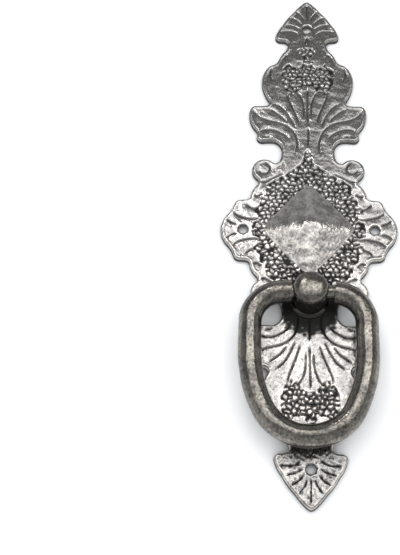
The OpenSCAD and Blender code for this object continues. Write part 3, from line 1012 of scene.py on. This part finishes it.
PIVOT_HEIGHT, BORE = 9.15, 5.0
turned = [(2.9, 0.2), (3.4, 0.5), (3.4, HOLLOW), (2.5, HOLLOW), (2.5, FIELD), (6.7, FIELD)]
turned += [(7.0, 2.7), (7.0, 3.1), (6.5, 3.5), (5.1, 3.6), (5.1, 3.9)]
turned += [(5.0 + c, 4.8 + s) for c, s in map(cos_sin, range(-60, 1, 15))]
turned += [(6 * c**0.8, 12.4 + 2.6 * s) for c, s in map(cos_sin, range(0, 88, 6))]
deselect()
bpy.ops.mesh.primitive_circle_add(
    vertices=64, radius=turned[0][0] * MM, fill_type="NGON",
    location=mm(0, POST_Y, turned[0][1]), rotation=(math.pi / 2, 0, 0))
turned_post = bpy.context.object
turned_post.name = "turned_post"
bpy.ops.object.mode_set(mode="EDIT")
bpy.ops.mesh.select_all(action="SELECT")
for (r0, h0), (r1, h1) in zip(turned, turned[1:]):
    bpy.ops.mesh.extrude_region_move(TRANSFORM_OT_translate={"value": (0, -(h1 - h0) * MM, 0)})
    bpy.ops.transform.resize(value=(r1 / r0, r1 / r0, r1 / r0), center_override=mm(0, POST_Y, h1))
bpy.ops.mesh.merge(type="CENTER")
bpy.ops.mesh.select_all(action="SELECT")
bpy.ops.mesh.normals_make_consistent(inside=False)
bpy.ops.object.mode_set(mode="OBJECT")
bpy.ops.object.transform_apply(location=True, rotation=True, scale=True)

bpy.ops.mesh.primitive_cylinder_add(
    vertices=48, radius=BORE / 2 * MM, depth=16 * MM,
    location=mm(0, POST_Y, PIVOT_HEIGHT), rotation=(0, math.pi / 2, 0))
drill = bpy.context.object
bore = turned_post.modifiers.new("bore", "BOOLEAN")
bore.operation, bore.object, bore.solver = "DIFFERENCE", drill, "EXACT"
bpy.context.view_layer.objects.active = turned_post
bpy.ops.object.modifier_apply(modifier="bore")
bpy.data.objects.remove(drill)
deselect()
turned_post.select_set(True)
bpy.ops.object.shade_smooth_by_angle(angle=math.radians(35))
print("post:", len(turned_post.data.polygons), "faces")

# %% [markdown]
# ## The ring
#
# The ring is one round bar, bent like a stirrup, with its ends turned down to pins. A circle at
# the left end is extruded along the straights and spun round each bend. Sizes are in mm, and SET
# is how far the ring sits to the left of the post's middle.

# %% Ring
BAR, PIN = 3.9, 2.4
WIDTH, DROP, TOP_RADIUS, LOW_RADIUS, LOW_ANGLE, SET = 39.0, 50.8, 11.5, 16.8, 65.0, 0.8
LEFT_END, RIGHT_END, PIN_REACH = 6.3, 8.3, 4.8
half = WIDTH / 2
cos_low, sin_low = cos_sin(LOW_ANGLE)
side_radius = (half - LOW_RADIUS * sin_low) / (1 - sin_low)
low_middle = LOW_RADIUS - DROP
side_middle = low_middle + (side_radius - LOW_RADIUS) * cos_low


def on_ring(x, y):
    """A place in the ring's own drawing, from the pivot, in the standing frame."""
    return mm(x - SET, POST_Y + y, PIVOT_HEIGHT)


def straight(dx, dy, cuts):
    """Pulls the open end on by a length, in as many steps as there are cuts."""
    step = (dx * MM / cuts, 0, dy * MM / cuts)
    for _ in range(cuts):
        bpy.ops.mesh.extrude_region_move(TRANSFORM_OT_translate={"value": step})


def bend(x, y, degrees, steps):
    """Spins the open end round a middle."""
    bpy.ops.mesh.spin(
        steps=steps, angle=math.radians(degrees), center=on_ring(x, y), axis=(0, 1, 0))


deselect()
left = SET - LEFT_END
bpy.ops.mesh.primitive_circle_add(
    vertices=48, radius=BAR * MM, location=on_ring(left, 0), rotation=(0, math.pi / 2, 0))
bent_ring = bpy.context.object
bent_ring.name = "bent_ring"
bpy.ops.object.mode_set(mode="EDIT")
bpy.ops.mesh.select_all(action="SELECT")
top_x = half - TOP_RADIUS
turn = 90 - math.degrees(math.asin((RIGHT_END + SET - top_x) / TOP_RADIUS))
straight(-top_x - left, 0, 3)
bend(-top_x, -TOP_RADIUS, 90, 20)
straight(0, side_middle + TOP_RADIUS, 12)
bend(side_radius - half, side_middle, 90 - LOW_ANGLE, 16)
bend(0, low_middle, 2 * LOW_ANGLE, 34)
bend(half - side_radius, side_middle, 90 - LOW_ANGLE, 16)
straight(0, -side_middle - TOP_RADIUS, 12)
bend(top_x, -TOP_RADIUS, turn, 19)
bpy.ops.object.mode_set(mode="OBJECT")
print("ring bar:", len(bent_ring.data.vertices), "points,", len(bent_ring.data.polygons), "faces")

# %% [markdown]
# The bends leave an open tube, so each end is closed, its face is inset to the pin's width, and
# the pin is pulled out of it and made flat at its end. The bar is uneven from the forge, but the
# pins are true.

# %% Ends and pins


def pick(piece, test):
    """Selects the points for which test(x, y) holds, in edit mode."""
    bpy.ops.object.mode_set(mode="OBJECT")
    for v in piece.data.vertices:
        v.select = bool(test(v.co.x / MM, v.co.z / MM))
    for e in piece.data.edges:
        e.select = all(piece.data.vertices[k].select for k in e.vertices)
    for f in piece.data.polygons:
        f.select = all(piece.data.vertices[k].select for k in f.vertices)
    bpy.ops.object.mode_set(mode="EDIT")
    bpy.ops.mesh.select_mode(type="VERT")


deselect()
bent_ring.select_set(True)
bpy.context.view_layer.objects.active = bent_ring
bpy.ops.object.transform_apply(location=True, rotation=True, scale=True)
bar_points = len(bent_ring.data.vertices)
end_slope = math.tan(math.radians(90 - turn))


def at_left_end(x, y):
    return abs(x + LEFT_END) < 0.01 and y > POST_Y - 5


def at_right_end(x, y):
    slope = (x + SET - top_x) / (y - POST_Y + TOP_RADIUS)
    beside_post = abs(x - RIGHT_END) < 0.5 and y > POST_Y - 5
    return beside_post and abs(slope - end_slope) < 0.004


for way, at_end in ((-1, at_left_end), (1, at_right_end)):
    pick(bent_ring, at_end)
    bpy.ops.mesh.edge_face_add()
    bpy.ops.mesh.inset(thickness=(BAR - PIN) * MM)
    pull = (-way * PIN_REACH * MM, 0, 0)
    bpy.ops.mesh.extrude_region_move(TRANSFORM_OT_translate={"value": pull})
    bpy.ops.transform.resize(value=(0, 1, 1))
bpy.ops.mesh.select_all(action="SELECT")
bpy.ops.mesh.normals_make_consistent(inside=False)
bpy.ops.object.mode_set(mode="OBJECT")
grip = bent_ring.vertex_groups.new(name="bar")
grip.add(list(range(bar_points)), 1.0, "REPLACE")
forge = bpy.data.textures.new("forge", "CLOUDS")
forge.noise_scale, forge.noise_depth = 0.009, 2
uneven = bent_ring.modifiers.new("uneven", "DISPLACE")
uneven.texture, uneven.vertex_group = forge, "bar"
uneven.strength, uneven.mid_level = 0.5 * MM, 0.5
bpy.ops.object.modifier_apply(modifier="uneven")
bpy.ops.object.shade_smooth_by_angle(angle=math.radians(40))
print("ring:", len(bent_ring.data.polygons), "faces")

# %% [markdown]
# ## Antique silver
#
# The plate was silvered, blackened and rubbed. Black patina stays in the channels and grooves.
# Level metal keeps a thin grey skin, full of fine pits and of light scratches where the rubbing
# cut through it, and the crests are bare. The skin is mottled by a slow noise, the pits are the
# low parts of a fine one, and the scratches are noises stretched in two slanting directions.
# The upper half is painted a little darker than the lower half, as painted shade.

# %% Silver
silver = Finish("antique_silver")
# The relief attribute holds the wear and also painted shade: dark walls and a dark patch round the
# post.
wear_and_shade = silver.attribute("relief")
blotch, grain = silver.noise(6 * MM, 5.0, 0.6), silver.noise(1 * MM, 4.0, 0.68)
speck = silver.noise(0.4 * MM, 2.0)
up = silver.part(silver.place(), "Z")


def scratches(degrees):
    """Fine lines about 3 mm long that lie at an angle on the plate."""
    turned = silver.node("ShaderNodeMapping", {"vector_type": "TEXTURE"}, {
        "Vector": silver.place(), "Rotation": (0, math.radians(degrees), 0), "Scale": (1, 1, 6)})
    return silver.noise(0.6 * MM, 2.0, 0.5, at=turned)


BARE_LOW, BARE_HIGH, SKIN = grey(0.75, 0.065), grey(0.64, 0.012), grey(0.35, 0.03)
PIT, PATINA = grey(0.12, 0.03), grey(0.025, 0.04)
MOTTLED, UPPER_SHADE = 2.2, 0.52
lines = scratches(38).ramp(0.54, 0.68) + scratches(-66).ramp(0.58, 0.72)
pits = grain.ramp(0.44, 0.36)
hollow = ((0.31 - wear_and_shade) * 6.5 + (grain - 0.5) * 1.4).clamped()
crest = ((wear_and_shade - 0.58) * 5.0 + (grain - 0.5) * 2.0 + 0.3).clamped()
# Painted shade: towards the top less of the skin is bare and the bare metal is darker; it is also less
# warm there.
upper_shade = up.ramp(14 * MM, 30 * MM)
rubbed_less_shade = (crest + lines * 0.45 + (blotch - 0.5) * MOTTLED - upper_shade * UPPER_SHADE).clamped()
bare = silver.blend(up.ramp(-10 * MM, 40 * MM), BARE_LOW, BARE_HIGH)
skin = silver.blend(rubbed_less_shade, SKIN, bare)
stained = silver.blend(pits * 0.5, skin, PIT)
silver.feed(silver.shader, {
    "Base Color": silver.blend(hollow, stained, PATINA),
    "Metallic": 1 - hollow * 0.35,
    "Roughness": 0.22 + hollow * 0.36 + pits * 0.2 + (speck - 0.5) * 0.15,
    "Normal": silver.bump(grain + speck * 0.3 + lines * 0.1, 0.19, 0.3 * MM),
})
carved_plate.data.materials.append(silver.material)
print("silver:", len(silver.tree.nodes), "nodes")

# %% [markdown]
# ## Dark bronze
#
# Post and ring are bronze that was blackened and then oiled and handled. The black has thinned
# to a smoky brown, a little lighter where hands rub the outside of the bar and the dome, with a
# fine grain of dark pits. It is smooth enough to carry long soft highlights.


# %% Bronze
SMOKE, RUBBED_BROWN, BLACK = (0.1, 0.094, 0.089, 1), (0.38, 0.35, 0.306, 1), (0.035, 0.033, 0.032, 1)


def bronze(name, worn, seat, crown):
    """Bronze with painted shade near the height seat and more worn near the height crown, in mm."""
    finish = Finish(name)
    height = finish.part(finish.place(), "Y") * -1
    # Painted shade: the bronze is darkened in a band round the height seat, the post's collar.
    out_of_shade = abs(height - seat * MM).ramp(1 * MM, 3 * MM)
    patch, grain = finish.noise(8 * MM, 4.0, 0.55), finish.noise(0.9 * MM, 4.0, 0.6)
    dust = finish.noise(0.4 * MM, 2.0)
    handled = height.ramp((crown - 1.6) * MM, crown * MM)
    rubbed_less_shade = ((patch - 0.5) * 1.9 + (grain - 0.5) * 1.8 + worn + handled * 0.15).clamped() * out_of_shade
    pits = grain.ramp(0.44, 0.34)
    pits_and_shade = 1 - (1 - pits * 0.5) * (0.3 + out_of_shade * 0.7)
    finish.feed(finish.shader, {
        "Base Color": finish.blend(pits_and_shade, finish.blend(rubbed_less_shade, SMOKE, RUBBED_BROWN), BLACK),
        "Metallic": 0.85 + rubbed_less_shade * 0.15,
        "Roughness": 0.18 - rubbed_less_shade * 0.03 + pits * 0.1 + (dust - 0.5) * 0.2,
        "Normal": finish.bump(grain * 0.8 + dust * 0.25, 0.35, 0.18 * MM),
    })
    return finish.material


# The post's collar, at 4.2 mm, gets painted shade; the ring lies higher and gets none.
turned_post.data.materials.append(bronze("dark_bronze_post", 0.25, 4.2, 14.8))
bent_ring.data.materials.append(bronze("dark_bronze_ring", 0.28, 0.0, 12.9))
print("finishes:", [p.active_material.name for p in (carved_plate, turned_post, bent_ring)])

# %% [markdown]
# ## Who rides on what
#
# The plate and the post are one body and the ring is another. Each new piece takes the place
# of its solid, which is hidden.

# %% Riding
for piece, node, body in (
    (carved_plate, "backplate", "plate"), (turned_post, "post", "plate"), (bent_ring, "ring", "ring")):
    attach(piece, body)
    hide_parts(node)
